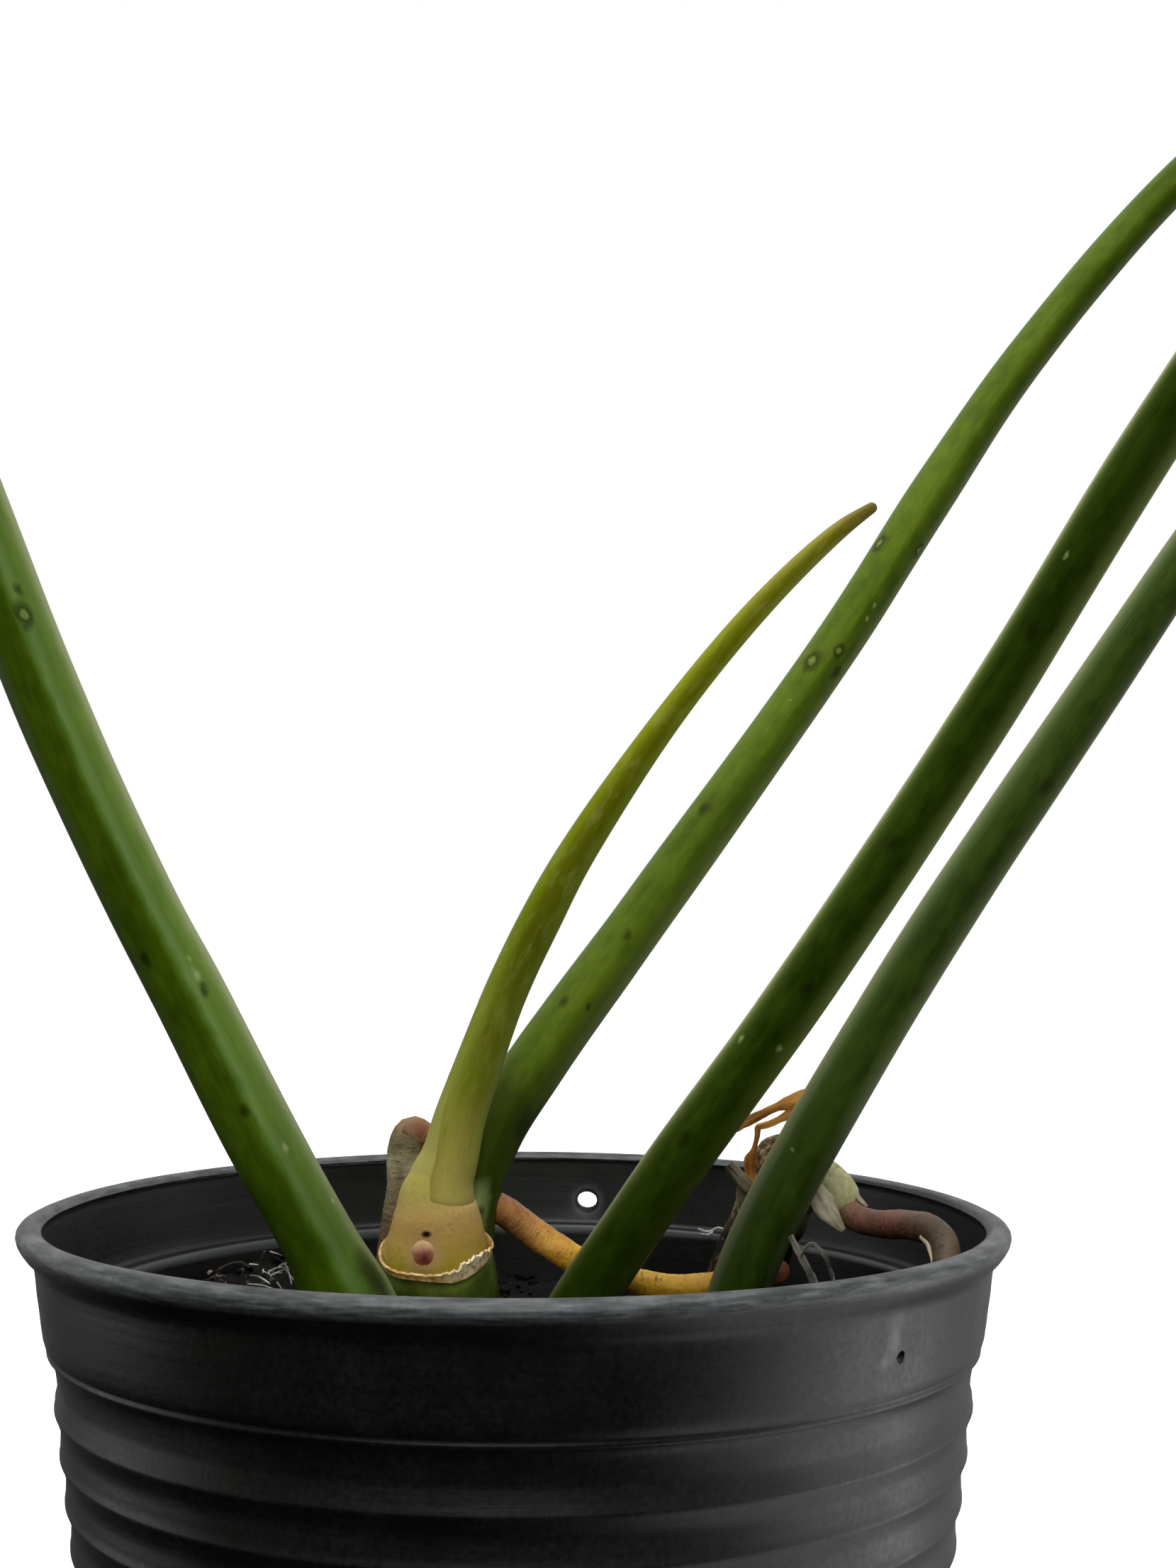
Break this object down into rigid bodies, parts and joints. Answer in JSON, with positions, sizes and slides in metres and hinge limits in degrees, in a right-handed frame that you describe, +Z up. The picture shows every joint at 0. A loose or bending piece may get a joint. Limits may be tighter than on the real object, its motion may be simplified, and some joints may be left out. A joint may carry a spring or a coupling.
{
  "type": "potted philodendron longilobatum",
  "caption": "Potted foliage plant in a ribbed black nursery pot, with long leaf stalks, drooping three-lobed leaves, a pointed new shoot and aerial roots.",
  "frame": {"origin": "centre of the pot's base, on the surface that it stands on", "axes": "+Z up, +X to the plant's right as the picture shows it, +Y to the back"},
  "size_m": [0.3357, 0.32, 0.3328],
  "materials": {
    "pot_plastic": "satin black moulded polypropylene",
    "soil": "damp crumbly potting mix",
    "stem": "smooth, waxy",
    "dried_sheath": "dry, papery",
    "bud": "smooth, waxy",
    "new_shoot": "smooth, waxy",
    "petiole": "smooth, waxy",
    "leaf": "glossy, leathery",
    "grey_root": "matte",
    "yellow_root": "satin",
    "brown_root": "matte, wrinkled",
    "old_stem": "satin",
    "grey_sheath": "dry, fibrous",
    "papery_sheath": "dry, papery"
  },
  "bodies": {
    "root": {"pot": "pot_plastic", "soil": "soil", "stem": "stem", "torn_sheath": "dried_sheath", "bud": "bud", "new_shoot": "new_shoot", "petiole_left": "petiole", "petiole_back": "petiole", "petiole_middle": "petiole", "petiole_right": "petiole", "blade_left": "leaf", "blade_back": "leaf", "blade_middle": "leaf", "blade_right": "leaf", "root_loop": "grey_root", "root_yellow": "yellow_root", "root_right": "brown_root", "old_stem": "old_stem", "orange_sheath": "dried_sheath", "grey_sheath": "grey_sheath", "papery_sheath": "papery_sheath", "dried_fibre": "grey_sheath"}
  },
  "joints": []
}
